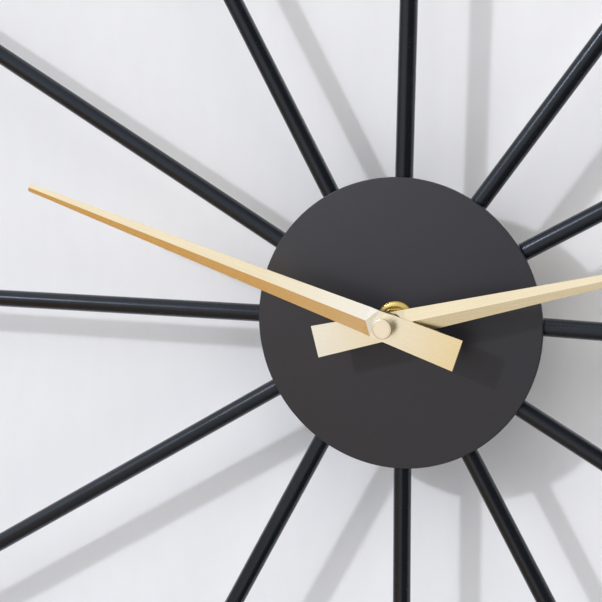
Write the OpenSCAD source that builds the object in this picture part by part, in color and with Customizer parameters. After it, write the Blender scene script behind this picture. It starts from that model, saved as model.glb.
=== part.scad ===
// Sunburst wall clock: a dark metal disc with twelve tubular rays, two long
// tapered brass hands and a battery quartz movement hidden behind the disc.
// The front faces -Y and up is +Z. The origin is the point where the hands'
// axis meets the wall. A positive turn about +Y is clockwise from the front.
// Each module is drawn lying down, with x to the right, y up and z out of the
// wall towards the viewer, and upright() stands it against the wall.

/* [Disc and rays] */
// diameter of the whole clock, ray tip to ray tip (mm)
overall_d = 600; // [480:10:700]
// diameter of the centre disc (mm)
disc_d = 130; // [124:2:150]
// thickness of the centre disc (mm)
disc_t = 2; // [1.5:0.5:3]
// how far the hands' axis sits above the middle of the disc (mm)
axis_rise = 1.5; // [0:0.5:3]
// outside diameter of a ray tube (mm)
ray_d = 8; // [6:0.5:10]
// wall thickness of a ray tube (mm)
ray_wall = 0.9; // [0.8:0.1:1.5]
// distance from the wall to the middle of a ray (mm)
stand_off = 30; // [28:1:40]

/* [Hand-set rays] */
// degrees that the welded ends of rays 1 to 4 sit off their true lines
root_off_1_4 = [3, -1, -0.5, 3]; // [-4:0.5:4]
// degrees that the welded ends of rays 5 to 8 sit off their true lines
root_off_5_8 = [0.5, -2, 2, -1]; // [-4:0.5:4]
// degrees that the welded ends of rays 9 to 12 sit off their true lines
root_off_9_12 = [-1, 0, -1, 0.5]; // [-4:0.5:4]
// degrees that the tips of rays 1 to 4 sit off their true lines
tip_off_1_4 = [5, 0, 0.5, 0]; // [-5:0.5:5]
// degrees that the tips of rays 5 to 8 sit off their true lines
tip_off_5_8 = [0.5, -1, -1.5, -1.5]; // [-5:0.5:5]
// degrees that the tips of rays 9 to 12 sit off their true lines
tip_off_9_12 = [-0.5, 0, 0.5, 0.5]; // [-5:0.5:5]

/* [Hands] */
// minute hand, axis to tip (mm)
minute_len = 180; // [120:1:200]
// hour hand, axis to tip (mm)
hour_len = 128; // [90:1:140]
// tail of both hands, axis to end (mm)
hand_tail = 33.8; // [20:0.1:40]
// width of both hands at the tail end (mm)
tail_w = 14.2; // [10:0.1:16]
// width of the minute hand's tip (mm)
minute_tip_w = 3.6; // [2:0.1:5]
// width of the hour hand's tip (mm)
hour_tip_w = 3.2; // [2:0.1:5]
// where the minute hand points (degrees clockwise from 12 o'clock)
minute_at = 287.6; // [0:0.1:359.9]
// where the hour hand points (degrees clockwise from 12 o'clock)
hour_at = 75; // [0:0.1:359.9]

/* [Fixings] */
// diameter of the brass washer (mm)
washer_d = 18; // [14:0.5:20]
// size of the hexagon nut across its flats (mm)
nut_af = 11; // [10:0.5:13]
// diameter of the round cap that holds the hands (mm)
cap_d = 8.8; // [7:0.1:11]
// diameter of the keyhole's round opening for the wall screw's head (mm)
keyhole_d = 10; // [9:0.5:11]

/* [Hidden] */
$fn = 64;
// overlap that joins two shapes, and how far a cutting shape runs past the part
eps = 0.01;
cut = 1;

// wall side: felt ring, hoop and strap
felt_t = 2;
ring_r = 52;
ring_wall = 3;
ring_in = ring_r - ring_wall;
felt_lip = 0.5;
strap_t = 2;
strap_rear = felt_t + 2;
strap_y = 32.5;
strap_h = 21;
keyhole_y = 31;
keyhole_slot_r = 2.5;
keyhole_rise = 5;

// disc
disc_rear = stand_off + ray_d / 2;
disc_front = disc_rear + disc_t;
disc_round = 0.4;

// rays: one angle at the hoop and one at the tip for each hour
root_off = concat(root_off_1_4, root_off_5_8, root_off_9_12);
tip_off = concat(tip_off_1_4, tip_off_5_8, tip_off_9_12);
root_r = disc_d / 2;
ray_bore_r = ray_d / 2 - ray_wall;
cap_dome = 2;
plug_len = 6;
tip_r = overall_d / 2 - cap_dome;

// movement case, measured from its front face, which is z = 0 in the movement
gasket_t = 1;
gasket_r = 12;
loose = 0.25;
case_z = disc_rear - gasket_t;
case_half = 28;
case_wall = 1;
case_in = case_half - case_wall;
case_front_t = 1.5;
case_corner = 3;
cover_rear = -16.5;
cover_front = -15;
bay_top = -12.2;
train_bottom = -11.2;
post_x = 23.8;
post_high = 23.8;
post_r = 2.6;
post_neck_r = 1.9;
screw_r = 1;
screw_deep = -9;
screw_head_r = 1.9;
screw_head_t = 1.2;
screw_slot = 0.2;
third_boss_r = 1.5;
third_boss_rear = -4.8;
third_pivot_front = -3.6;
set_pivot_r = 0.6;
set_pivot_front = -1;

// plates and board
bridge_rear = -14.8;
bridge_front = -13.6;
mid_rear = -8.2;
mid_front = -7.4;
mid_top = 20.6;
plate_edge = 26.2;
plate_corner = 2;
plate_hole = 0.1;
third_hole_r = 1.9;
peg_r = 0.8;
peg_foot_r = 1.5;
board_t = 1;
board_y0 = -10.9;
board_y1 = -4.6;
board_mid = (board_y0 + board_y1) / 2;
crystal_r = 1;
crystal_len = 6;
crystal_x = 14;
chip_x = -13;
chip_r = 2.4;
chip_h = 0.9;

// gear teeth
pressure = 28;
tooth_top = 0.75;
tooth_root = 1;
tooth_slack = 5.7;
running = 0.03;

// teeth and places of the train
z_rotor = 10;
z_inter = 60;
z_inter_pin = 12;
z_sec = 60;
z_sec_pin = 8;
z_third = 60;
z_third_pin = 8;
z_centre = 64;
z_cannon = 12;
z_minute = 36;
z_minute_pin = 10;
z_hour = 40;
third_a = 35;
third_c = 11.8;
minute_a = 150;
minute_c = 12.2;
inter_a = 100;
inter_c = 10.8;
rotor_a = 110;
rotor_c = 7;
third_p = third_c * [cos(third_a), sin(third_a)];
minute_p = minute_c * [cos(minute_a), sin(minute_a)];
inter_p = inter_c * [cos(inter_a), sin(inter_a)];
rotor_p = inter_p + rotor_c * [cos(rotor_a), sin(rotor_a)];

// heights of the wheels and pinions: rear face, front face
rotor_gear_z = [-13.2, -12];
inter_wheel_z = [-13, -12.3];
inter_pin_front = -10.5;
sec_wheel_z = [-11.5, -10.8];
sec_pin_front = -8.4;
third_wheel_z = [-9.5, -8.7];
third_neck_front = -7.2;
third_pin_front = -5.8;
centre_wheel_z = [-7, -6.1];
cannon_z = [-5.6, -3.6];
minute_wheel_z = [-5.1, -4.2];
minute_pin_front = -2;
hour_wheel_z = [-3.4, -2.4];
hour_hub_front = -1.6;
hour_hub_r = 3.4;

// arbors and pipes
arbor_r = 0.4;
third_arbor_r = 0.5;
rotor_arbor_r = 0.35;
set_arbor_r = 1;
arbor_rear = -14.4;
motor_pivot_front = -7.6;
sec_pivot_front = -5.4;
third_arbor_front = -3.8;
third_neck_r = 1.2;
cannon_r = 1.8;
cannon_tip_r = 1.5;
cannon_rear = -7.1;
pipe_r = 2.5;
pipe_tip_r = 2.3;
pipe_bore_r = 1.86;
bushing_r = 3.95;
bushing_bore_r = 2.56;
bushing_len = 8.5;
bushing_flange_r = 5.5;
thread_pitch = 0.75;
thread_deep = 0.35;
thread_rings = 9;
thread_len = thread_rings * thread_pitch;

// motor
magnet_r = 2.5;
magnet_z = [-11.6, -9];
magnet_core_r = 0.9;
stator_hole_r = 2.8;
stator_notch_r = 0.35;
stator_below = 3.8;
stator_h = 7.4;
stator_over = 2;
stator_rear = -10.8;
stator_t = 1;
core_t = 1.2;
core_y = 24;
core_w = 2.8;
arm_x = 12.5;
arm_w = 4.4;
coil_z = stator_rear + stator_t + core_t / 2;
peg_top = stator_rear + stator_t + core_t + 0.5;
coil_r = 2.7;
flange_r = 2.9;
bobbin_r = 1.75;
bobbin_half = 10;
bobbin_flange = 0.8;

// battery and contacts
cell_r = 7.1;
cell_y = -19.6;
cell_z = -8.8;
cell_x0 = -24.2;
cell_x1 = 25;
nub_r = 2.75;
contact_x = 26.3;
contact_t = 0.3;
contact_z0 = -13.4;
contact_z1 = -7;
contact_y = [-26, -5];
leaf_inset = 1;
leaf_half = 5.4;
leaf_tip = 1.4;
leaf_back = 0.6;
leaf_back_tip = 0.2;
slot_gap = 0.2;
cell_edge = [1.2, 0.6, 1];

// hands
hand_flat = 1.2;
hand_edge = 0.4;
fold_slope = 0.25;
fold_from = 5;
fold_to = 9;
hour_hand_z = 17.6;
minute_hand_z = 20.2;
cap_h = 5;
cap_bore = 3;
collet_h = 1.6;
collet_r = 4;
minute_collet_h = 0.7;
minute_collet_r = 3;
washer_t = 1;
nut_h = 3;
knob_r = 5;
knob_rear = -21.5;
knob_front = -17.3;
knob_flutes = 20;
flute_r = 0.45;
flute_out = 0.15;
knob_floor = 1.1;

// washer, nut and cap
nut_round = [0.4, 0.9, 0.5];
cap_round = 0.3;
cap_top_gap = 0.2;

// stands a lying part against the wall
module upright() rotate([90, 0, 0]) children();

// places a part of the movement behind the disc
module in_movement() upright() translate([0, 0, case_z]) children();

// moves a part of the movement to a point of its plates
module at(p) translate([p.x, p.y, 0]) children();

// upright bar of radius r between two heights
module rod(r, z0, z1) translate([0, 0, z0]) cylinder(r = r, h = z1 - z0);

// flat ring between two heights
module ring(r_out, r_in, z0, z1) difference() {
    rod(r_out, z0, z1);
    rod(r_in, z0 - cut, z1 + cut);
}

// rectangle with round corners
module round_rect(x0, x1, y0, y1, r) {
    translate([x0 + r, y0]) square([x1 - x0 - 2 * r, y1 - y0]);
    translate([x0, y0 + r]) square([x1 - x0, y1 - y0 - 2 * r]);
    for (x = [x0 + r, x1 - r], y = [y0 + r, y1 - r]) translate([x, y]) circle(r);
}

// block between two corners
module block(a, b) translate(a) cube(b - a);

// ---- gears ----

// involute of an angle, in degrees
function inv(a) = tan(a) * 180 / PI - a;

// half the angle a tooth fills at radius r, for z teeth of module m
function tooth_half(z, m, r) =
    let (base = m * z / 2 * cos(pressure))
    (90 - tooth_slack) / z + inv(pressure) - (r > base ? inv(acos(base / r)) : 0);

// turn that puts a wheel of z2 teeth in mesh with one of z1 teeth turned by p1, which lies towards dir
function mesh_turn(z1, p1, z2, dir) = dir + 180 - (180 - z1 * (dir - p1)) / z2;

// gear blank with z teeth of module m between two heights
module gear(z, m, z0, z1, turn) {
    root = m * (z / 2 - tooth_root);
    top = m * (z / 2 + tooth_top);
    steps = z < 20 ? 4 : 2;
    flank = [for (i = [0:steps]) root + (top - root) * i / steps];
    outline = [for (k = [0:z - 1]) let (a = turn + k * 360 / z) each concat(
        [for (r = flank) let (b = a - tooth_half(z, m, r)) r * [cos(b), sin(b)]],
        [for (i = [steps:-1:0]) let (r = flank[i], b = a + tooth_half(z, m, r)) r * [cos(b), sin(b)]]
    )];
    translate([0, 0, z0]) linear_extrude(z1 - z0) polygon(outline);
}

// module of a pair from its centre distance
function pair_module(z1, z2, c) = 2 * c / (z1 + z2);

m_rotor = pair_module(z_rotor, z_inter, rotor_c);
m_inter = pair_module(z_inter_pin, z_sec, inter_c);
m_sec = pair_module(z_sec_pin, z_third, third_c);
m_third = pair_module(z_third_pin, z_centre, third_c);
m_cannon = pair_module(z_cannon, z_minute, minute_c);
m_hour = pair_module(z_minute_pin, z_hour, minute_c);

// ---- disc, rays and hoop ----

module face_disc() color("#3d3c40") upright() difference() {
    translate([0, -axis_rise, disc_rear]) rotate_extrude() polygon([
        [0, 0], [disc_d / 2 - disc_round, 0], [disc_d / 2, disc_round],
        [disc_d / 2, disc_t - disc_round], [disc_d / 2 - disc_round, disc_t], [0, disc_t]]);
    rod(bushing_r + loose, disc_rear - cut, disc_front + cut);
}

// where ray i starts on the hoop side and where it ends
function ray_root(i) = let (a = 30 * i + root_off[i - 1]) root_r * [sin(a), cos(a)];
function ray_tip(i) = let (a = 30 * i + tip_off[i - 1]) tip_r * [sin(a), cos(a)];

// moves a part drawn along +z from the origin to lie along ray i, its far end at the tip
module along_ray(i) {
    d = ray_tip(i) - ray_root(i);
    translate([ray_tip(i).x, ray_tip(i).y, stand_off])
        rotate([0, 0, atan2(d.y, d.x)]) rotate([0, 90, 0]) children();
}

module ray(i) color("#1f1f22") upright() difference() {
    along_ray(i) ring(ray_d / 2, ray_bore_r, -(tip_r - ring_in), 0);
    rod(ring_r, stand_off - ray_d, stand_off + ray_d);
}

// push-in plug with a shallow dome, one for each ray
module ray_end_caps() color("#1a1a1c") upright() for (i = [1:12]) along_ray(i) rotate_extrude() polygon([
    [0, -plug_len], [ray_bore_r, -plug_len], [ray_bore_r, 0], [ray_d / 2, 0], [ray_d / 2, cap_dome / 2],
    [ray_d / 2 - cap_dome / 2, cap_dome], [0, cap_dome]]);

module hub_ring() color("#1f1f22") upright() ring(ring_r, ring_in, felt_t, disc_rear);

// bar across the back of the hoop with the keyhole for the wall screw
module hanger_strap() color("#2a2a2e") upright() difference() {
    intersection() {
        rod(ring_in, strap_rear, strap_rear + strap_t);
        block([-ring_r, strap_y - strap_h / 2, 0], [ring_r, strap_y + strap_h / 2, stand_off]);
    }
    translate([0, keyhole_y, 0]) {
        rod(keyhole_d / 2, 0, stand_off);
        block([-keyhole_slot_r, 0, 0], [keyhole_slot_r, keyhole_rise, stand_off]);
        translate([0, keyhole_rise, 0]) rod(keyhole_slot_r, 0, stand_off);
    }
}

module wall_felt() color("#38383a") upright() ring(ring_r + felt_lip, ring_in - felt_lip, 0, felt_t);

// ---- parts that clamp the movement to the disc ----

module movement_gasket() color("#26262a") in_movement() ring(gasket_r, bushing_r + loose, 0, gasket_t);

module brass_washer() color("#c9a255") in_movement()
    ring(washer_d / 2, bushing_r + loose, gasket_t + disc_t, gasket_t + disc_t + washer_t);

module hex_nut() color("#caa558") in_movement() {
    nut_z = gasket_t + disc_t + washer_t;
    end_r = nut_af / 2 + nut_round[0];
    side_r = nut_af / 2 + nut_round[1];
    bevel = nut_round[2];
    difference() {
        translate([0, 0, nut_z]) intersection() {
            cylinder(r = nut_af / sqrt(3), h = nut_h, $fn = 6);
            rotate_extrude() polygon([[0, 0], [end_r, 0], [side_r, bevel],
                [side_r, nut_h - bevel], [end_r, nut_h], [0, nut_h]]);
        }
        rod(bushing_r + running, nut_z - cut, nut_z + nut_h + cut);
    }
}

module threaded_bushing() color("#c39b4e") in_movement() difference() {
    union() {
        rod(bushing_flange_r, -case_front_t, 0);
        rod(bushing_r, -eps, bushing_len - thread_len);
        translate([0, 0, bushing_len - thread_len]) rotate_extrude() polygon(concat(
            [[0, 0]],
            [for (k = [0:thread_rings - 1]) each [
                [bushing_r, k * thread_pitch], [bushing_r - thread_deep, (k + 0.5) * thread_pitch]]],
            [[bushing_r - thread_deep, thread_len], [0, thread_len]]));
    }
    rod(bushing_bore_r, -case_front_t - cut, bushing_len + cut);
}

// ---- case of the movement ----

// places something at each of the four screw posts
module at_posts() for (x = [-post_x, post_x], y = [0, post_high]) at([x, y]) children();

module movement_case() color("#1d1d1f") in_movement() difference() {
    union() {
        difference() {
            translate([0, 0, cover_front]) linear_extrude(-cover_front)
                round_rect(-case_half, case_half, -case_half, case_half, case_corner);
            block([-case_in, train_bottom, cover_front - cut], [case_in, case_in, -case_front_t]);
            block([-case_in, -case_in, cover_front - cut], [case_in, bay_top, -case_front_t]);
            for (s = [-1, 1])
                block([s * case_in - cut, bay_top - cut, cover_front - cut],
                    [s * case_in + cut, train_bottom + cut, contact_z1 + slot_gap]);
        }
        for (x = [-case_half, case_in])
            block([x, bay_top - 2 * cut, cover_front],
                [x + case_wall, train_bottom + 2 * cut, -case_front_t]);
        at_posts() {
            rod(post_r, mid_front, -case_front_t);
            rod(post_neck_r, bridge_front, mid_front + eps);
        }
        at(third_p) rod(third_boss_r, third_boss_rear, -case_front_t);
    }
    at_posts() rod(screw_r, bridge_front - cut, screw_deep);
    rod(bushing_flange_r, -case_front_t - cut, cut);
    at(third_p) rod(third_arbor_r + running, third_boss_rear - cut, third_pivot_front);
    at(minute_p) rod(set_pivot_r + running, -case_front_t - cut, set_pivot_front + slot_gap);
}

module rear_cover() color("#222225") in_movement() difference() {
    translate([0, 0, cover_rear]) linear_extrude(cover_front - cover_rear)
        round_rect(-case_half, case_half, bay_top, case_half, case_corner);
    at_posts() rod(screw_r + plate_hole, cover_rear - cut, cover_front + cut);
    at(minute_p) rod(set_arbor_r + plate_hole, cover_rear - cut, cover_front + cut);
}

// four pan-head screws through the cover and bridge into the posts
module cover_screws() color("#9a9aa0") in_movement() at_posts() {
    difference() {
        rod(screw_head_r, cover_rear - screw_head_t, cover_rear);
        for (a = [0, 90]) rotate([0, 0, a])
            block([-screw_head_r, -screw_slot, cover_rear - screw_head_t - cut],
                [screw_head_r, screw_slot, cover_rear - screw_head_t / 2]);
    }
    rod(screw_r, cover_rear - eps, screw_deep - 0.5);
}

// plate at the back that carries the rear pivots, with two pegs for the motor
module gear_bridge() color("#d8d4c8") in_movement() difference() {
    union() {
        translate([0, 0, bridge_rear]) linear_extrude(bridge_front - bridge_rear)
            round_rect(-plate_edge, plate_edge, board_y0, plate_edge, plate_corner);
        at_pegs() {
            rod(peg_foot_r, bridge_front - eps, stator_rear);
            rod(peg_r, stator_rear - eps, peg_top);
        }
    }
    at_posts() rod(screw_r + plate_hole, bridge_rear - cut, bridge_front + cut);
    rod(arbor_r + running, bridge_rear - cut, bridge_front + cut);
    at(third_p) rod(third_arbor_r + running, bridge_rear - cut, bridge_front + cut);
    at(inter_p) rod(arbor_r + running, bridge_rear - cut, bridge_front + cut);
    at(rotor_p) rod(rotor_arbor_r + running, bridge_rear - cut, bridge_front + cut);
    at(minute_p) rod(set_arbor_r + plate_hole, bridge_rear - cut, bridge_front + cut);
}

// plate between the motor train and the hand train
module middle_plate() color("#d8d4c8") in_movement() difference() {
    translate([0, 0, mid_rear]) linear_extrude(mid_front - mid_rear)
        round_rect(-plate_edge, plate_edge, board_y0, mid_top, plate_corner);
    at_posts() rod(post_neck_r + running, mid_rear - cut, mid_front + cut);
    rod(arbor_r + plate_hole, mid_rear - cut, mid_front + cut);
    at(third_p) rod(third_hole_r, mid_rear - cut, mid_front + cut);
    at(inter_p) rod(arbor_r + running, mid_rear - cut, mid_front + cut);
    at(rotor_p) rod(rotor_arbor_r + running, mid_rear - cut, mid_front + cut);
    at(minute_p) rod(set_arbor_r + plate_hole, mid_rear - cut, mid_front + cut);
}

// ---- stepping motor ----

// places something at the two pegs that hold the stator and the coil's core
module at_pegs() for (s = [-1, 1]) at([rotor_p.x + s * arm_x, core_y]) children();

module stator() color("#8f9296") in_movement() difference() {
    translate([rotor_p.x, 0, stator_rear]) linear_extrude(stator_t) {
        translate([-arm_x - arm_w / 2, rotor_p.y - stator_below]) square([2 * arm_x + arm_w, stator_h]);
        for (s = [-1, 1]) translate([s * arm_x - arm_w / 2, rotor_p.y])
            square([arm_w, core_y + stator_over - rotor_p.y]);
    }
    at(rotor_p) {
        rod(stator_hole_r, stator_rear - cut, stator_rear + stator_t + cut);
        for (a = [45, 225]) rotate([0, 0, a]) translate([stator_hole_r, 0, 0])
            rod(stator_notch_r, stator_rear - cut, stator_rear + stator_t + cut);
    }
    at_pegs() rod(peg_r + running, stator_rear - cut, stator_rear + stator_t + cut);
}

module coil_core() color("#8f9296") in_movement() difference() {
    block([rotor_p.x - arm_x - arm_w / 2, core_y - core_w / 2, stator_rear + stator_t],
        [rotor_p.x + arm_x + arm_w / 2, core_y + core_w / 2, stator_rear + stator_t + core_t]);
    at_pegs() rod(peg_r + running, stator_rear, peg_top + cut);
}

// turns a part drawn along +z to lie along the coil, its middle at the coil's middle
module along_coil() translate([rotor_p.x, core_y, coil_z]) rotate([0, 90, 0]) children();

module coil_bobbin() color("#e6e2d6") in_movement() along_coil() difference() {
    union() {
        rod(bobbin_r, -bobbin_half, bobbin_half);
        for (z = [-bobbin_half, bobbin_half - bobbin_flange]) rod(flange_r, z, z + bobbin_flange);
    }
    block([-core_t / 2, -core_w / 2, -bobbin_half - cut], [core_t / 2, core_w / 2, bobbin_half + cut]);
}

module coil_winding() color("#b4622e") in_movement() along_coil()
    ring(coil_r, bobbin_r, bobbin_flange - bobbin_half, bobbin_half - bobbin_flange);

// ---- electronics and battery ----

module circuit_board() color("#2f6b3c") in_movement()
    block([-contact_x, board_y0, bridge_front], [contact_x, board_y1, bridge_front + board_t]);

module quartz_crystal() color("#c8c8cc") in_movement()
    translate([crystal_x, board_mid, bridge_front + board_t + crystal_r])
        rotate([0, 90, 0]) rod(crystal_r, 0, crystal_len);

// round drop of black resin over the driver
module driver_chip() color("#101012") in_movement()
    translate([chip_x, board_mid, bridge_front + board_t]) rotate_extrude() polygon(concat([[0, 0]],
        [for (a = [0:30:90]) [chip_r * cos(a), chip_h * sin(a)]]));

module positive_contact() color("#b9b9bd") in_movement()
    block([contact_x, contact_y[0], contact_z0], [contact_x + contact_t, contact_y[1], contact_z1]);

// strip with a bowed leaf that presses on the flat end of the cell
module negative_contact() color("#b9b9bd") in_movement() {
    block([-contact_x - contact_t, contact_y[0], contact_z0], [-contact_x, contact_y[1], contact_z1]);
    half = leaf_half - leaf_back;
    tip = leaf_tip - leaf_back_tip;
    leaf_w = contact_z1 - contact_z0 - 2 * leaf_inset;
    translate([0, cell_y, contact_z0 + leaf_inset]) linear_extrude(leaf_w) polygon([
        [-contact_x, -leaf_half], [cell_x0 - contact_t, -leaf_tip], [cell_x0, 0],
        [cell_x0 - contact_t, leaf_tip], [-contact_x, leaf_half], [-contact_x, half],
        [cell_x0 - 3 * contact_t, tip], [cell_x0 - 2 * contact_t, 0], [cell_x0 - 3 * contact_t, -tip],
        [-contact_x, -half]]);
}

module aa_battery() color("#3f5d7a") in_movement() translate([0, cell_y, cell_z]) rotate([0, 90, 0])
    rotate_extrude() polygon([
        [0, cell_x0], [cell_r - cell_edge[0], cell_x0], [cell_r, cell_x0 + cell_edge[1]],
        [cell_r, cell_x1 - cell_edge[2]], [cell_r - cell_edge[2], cell_x1], [nub_r, cell_x1],
        [nub_r, contact_x], [0, contact_x]]);

// ---- motor train ----

module rotor_magnet() color("#55565a") in_movement() at(rotor_p)
    ring(magnet_r, magnet_core_r, magnet_z[0], magnet_z[1]);

module rotor_pinion() color("#e9e6dc") in_movement() at(rotor_p) {
    gear(z_rotor, m_rotor, rotor_gear_z[0], rotor_gear_z[1], mesh_turn(z_inter, 0, z_rotor, rotor_a));
    rod(rotor_arbor_r, arbor_rear, motor_pivot_front);
    rod(magnet_core_r, rotor_gear_z[1] - eps, magnet_z[1]);
}

module intermediate_wheel() color("#e9e6dc") in_movement() at(inter_p) {
    gear(z_inter, m_rotor, inter_wheel_z[0], inter_wheel_z[1], 0);
    gear(z_inter_pin, m_inter, inter_wheel_z[1] - eps, inter_pin_front,
        mesh_turn(z_sec, 0, z_inter_pin, inter_a));
    rod(arbor_r, arbor_rear, motor_pivot_front);
}

module seconds_wheel() color("#efece2") in_movement() {
    gear(z_sec, m_inter, sec_wheel_z[0], sec_wheel_z[1], 0);
    gear(z_sec_pin, m_sec, sec_wheel_z[1] - eps, sec_pin_front,
        mesh_turn(z_third, 0, z_sec_pin, third_a + 180));
    rod(arbor_r, arbor_rear, sec_pivot_front);
}

module third_wheel() color("#efece2") in_movement() at(third_p) {
    gear(z_third, m_sec, third_wheel_z[0], third_wheel_z[1], 0);
    rod(third_neck_r, third_wheel_z[1] - eps, third_neck_front);
    gear(z_third_pin, m_third, third_neck_front - eps, third_pin_front,
        mesh_turn(z_centre, 0, z_third_pin, third_a));
    rod(third_arbor_r, arbor_rear, third_arbor_front);
}

module centre_wheel() color("#efece2") in_movement() difference() {
    gear(z_centre, m_third, centre_wheel_z[0], centre_wheel_z[1], 0);
    rod(cannon_r + running, centre_wheel_z[0] - cut, centre_wheel_z[1] + cut);
}

// ---- hand train ----

// solid arbor with the cannon pinion; its thin end carries the minute hand and the cap
module minute_arbor() color("#d9b774") in_movement() difference() {
    union() {
        rod(cannon_r, cannon_rear, minute_hand_z);
        rod(cannon_tip_r, minute_hand_z - eps, minute_hand_z + hand_flat + cap_bore - cap_top_gap);
        gear(z_cannon, m_cannon, cannon_z[0], cannon_z[1], 0);
    }
    rod(arbor_r + running, cannon_rear - cut, sec_pivot_front + cap_top_gap);
}

module minute_wheel() color("#efece2") in_movement() at(minute_p) {
    gear(z_minute, m_cannon, minute_wheel_z[0], minute_wheel_z[1],
        mesh_turn(z_cannon, 0, z_minute, minute_a));
    gear(z_minute_pin, m_hour, minute_wheel_z[1] - eps, minute_pin_front, 0);
    rod(set_arbor_r, knob_rear + knob_floor, minute_wheel_z[1]);
    rod(set_pivot_r, minute_pin_front - eps, set_pivot_front);
}

// knob at the back that sets the hands
module setting_knob() color("#1d1d1f") in_movement() at(minute_p) difference() {
    rod(knob_r, knob_rear, knob_front);
    for (k = [0:knob_flutes - 1]) rotate([0, 0, k * 360 / knob_flutes]) translate([knob_r + flute_out, 0, 0])
        rod(flute_r, knob_rear - cut, knob_front + cut);
    rod(set_arbor_r, knob_rear + knob_floor, knob_front + cut);
}

module hour_wheel() color("#efece2") in_movement() difference() {
    union() {
        gear(z_hour, m_hour, hour_wheel_z[0], hour_wheel_z[1],
            mesh_turn(z_minute_pin, 0, z_hour, minute_a + 180));
        rod(hour_hub_r, hour_wheel_z[1] - eps, hour_hub_front);
        rod(pipe_r, hour_hub_front - eps, hour_hand_z);
        rod(pipe_tip_r, hour_hand_z - eps, hour_hand_z + hand_flat);
    }
    rod(pipe_bore_r, hour_wheel_z[0] - cut, hour_hand_z + hand_flat + cut);
}

// ---- hands ----

// hand pointing along +y: a flat tail round the bore, then a blade folded along its middle
module hand_blank(length, tip_w, bore_r) {
    function half_w(y) = (tail_w + (tip_w - tail_w) * (y + hand_tail) / (length + hand_tail)) / 2;
    end_w = half_w(-hand_tail);
    flat_w = half_w(fold_from);
    fold_w = half_w(fold_to);
    point_w = half_w(length);
    linear_extrude(hand_flat) difference() {
        polygon([[-end_w, -hand_tail], [end_w, -hand_tail], [flat_w, fold_from], [-flat_w, fold_from]]);
        circle(bore_r);
    }
    polyhedron(
        points = [
            [-flat_w, fold_from, 0], [flat_w, fold_from, 0],
            [flat_w, fold_from, hand_flat], [-flat_w, fold_from, hand_flat],
            [fold_w, fold_to, hand_edge], [0, fold_to, hand_edge + fold_w * fold_slope],
            [-fold_w, fold_to, hand_edge],
            [-point_w, length, 0], [point_w, length, 0], [point_w, length, hand_edge],
            [0, length, hand_edge + point_w * fold_slope], [-point_w, length, hand_edge]],
        faces = [
            [3, 2, 1, 0], [7, 8, 9, 10, 11], [0, 1, 8, 7], [1, 2, 4, 9, 8], [0, 7, 11, 6, 3],
            [2, 3, 5], [2, 5, 4], [3, 6, 5], [4, 5, 10, 9], [5, 6, 11, 10]]);
}

// stands a hand at its height and turns it to where it points
module hand_at(z, angle) in_movement() translate([0, 0, z]) rotate([0, 0, -angle]) children();

module hour_hand() color("#e9cf9a") hand_at(hour_hand_z, hour_at) {
    hand_blank(hour_len, hour_tip_w, pipe_tip_r);
    ring(collet_r, pipe_r, -collet_h, 0);
}

module minute_hand() color("#e9cf9a") hand_at(minute_hand_z, minute_at) {
    hand_blank(minute_len, minute_tip_w, cannon_tip_r);
    ring(minute_collet_r, cannon_r, -minute_collet_h, 0);
}

// round cap that screws down on the minute hand
module cap_nut() color("#efd9ad") in_movement() translate([0, 0, minute_hand_z + hand_flat]) difference() {
    rotate_extrude() polygon([[0, 0], [cap_d / 2, 0], [cap_d / 2, cap_h - cap_round],
        [cap_d / 2 - cap_round, cap_h], [0, cap_h]]);
    rod(cannon_tip_r, -cut, cap_bore);
}

face_disc();
ray(1);  // ray_01
ray(2);  // ray_02
ray(3);  // ray_03
ray(4);  // ray_04
ray(5);  // ray_05
ray(6);  // ray_06
ray(7);  // ray_07
ray(8);  // ray_08
ray(9);  // ray_09
ray(10);  // ray_10
ray(11);  // ray_11
ray(12);  // ray_12
ray_end_caps();
hub_ring();
hanger_strap();
wall_felt();
movement_gasket();
brass_washer();
hex_nut();
threaded_bushing();
movement_case();
rear_cover();
cover_screws();
gear_bridge();
middle_plate();
stator();
coil_core();
coil_bobbin();
coil_winding();
circuit_board();
quartz_crystal();
driver_chip();
positive_contact();
negative_contact();
aa_battery();
rotor_magnet();
rotor_pinion();
intermediate_wheel();
seconds_wheel();
third_wheel();
centre_wheel();
minute_arbor();
minute_wheel();
setting_knob();
hour_wheel();
hour_hand();
minute_hand();
cap_nut();
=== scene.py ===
"""Looks for the sunburst wall clock: materials, fine detail, wall, floor, lights and camera."""

import math
import random

import bmesh
import bpy
from mathutils import Matrix, Quaternion, Vector
from mathutils import noise as field


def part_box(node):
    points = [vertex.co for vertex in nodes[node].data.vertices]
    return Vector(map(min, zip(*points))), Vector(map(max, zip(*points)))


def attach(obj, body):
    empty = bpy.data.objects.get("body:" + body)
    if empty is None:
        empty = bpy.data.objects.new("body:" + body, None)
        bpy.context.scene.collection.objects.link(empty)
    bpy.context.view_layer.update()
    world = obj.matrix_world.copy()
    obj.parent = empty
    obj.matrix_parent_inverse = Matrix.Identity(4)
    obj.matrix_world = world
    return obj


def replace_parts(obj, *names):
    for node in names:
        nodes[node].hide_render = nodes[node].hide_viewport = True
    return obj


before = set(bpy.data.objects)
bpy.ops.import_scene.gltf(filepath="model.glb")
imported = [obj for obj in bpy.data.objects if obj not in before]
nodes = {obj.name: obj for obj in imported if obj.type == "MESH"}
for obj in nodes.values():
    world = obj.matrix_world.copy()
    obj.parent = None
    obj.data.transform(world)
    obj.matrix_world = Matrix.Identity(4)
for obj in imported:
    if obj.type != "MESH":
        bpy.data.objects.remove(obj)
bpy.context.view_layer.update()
TAU = 2 * math.pi
MM = 0.001
FRAME_BODY = "clock_frame"


# ---------------------------------------------------------------- node helpers

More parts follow.
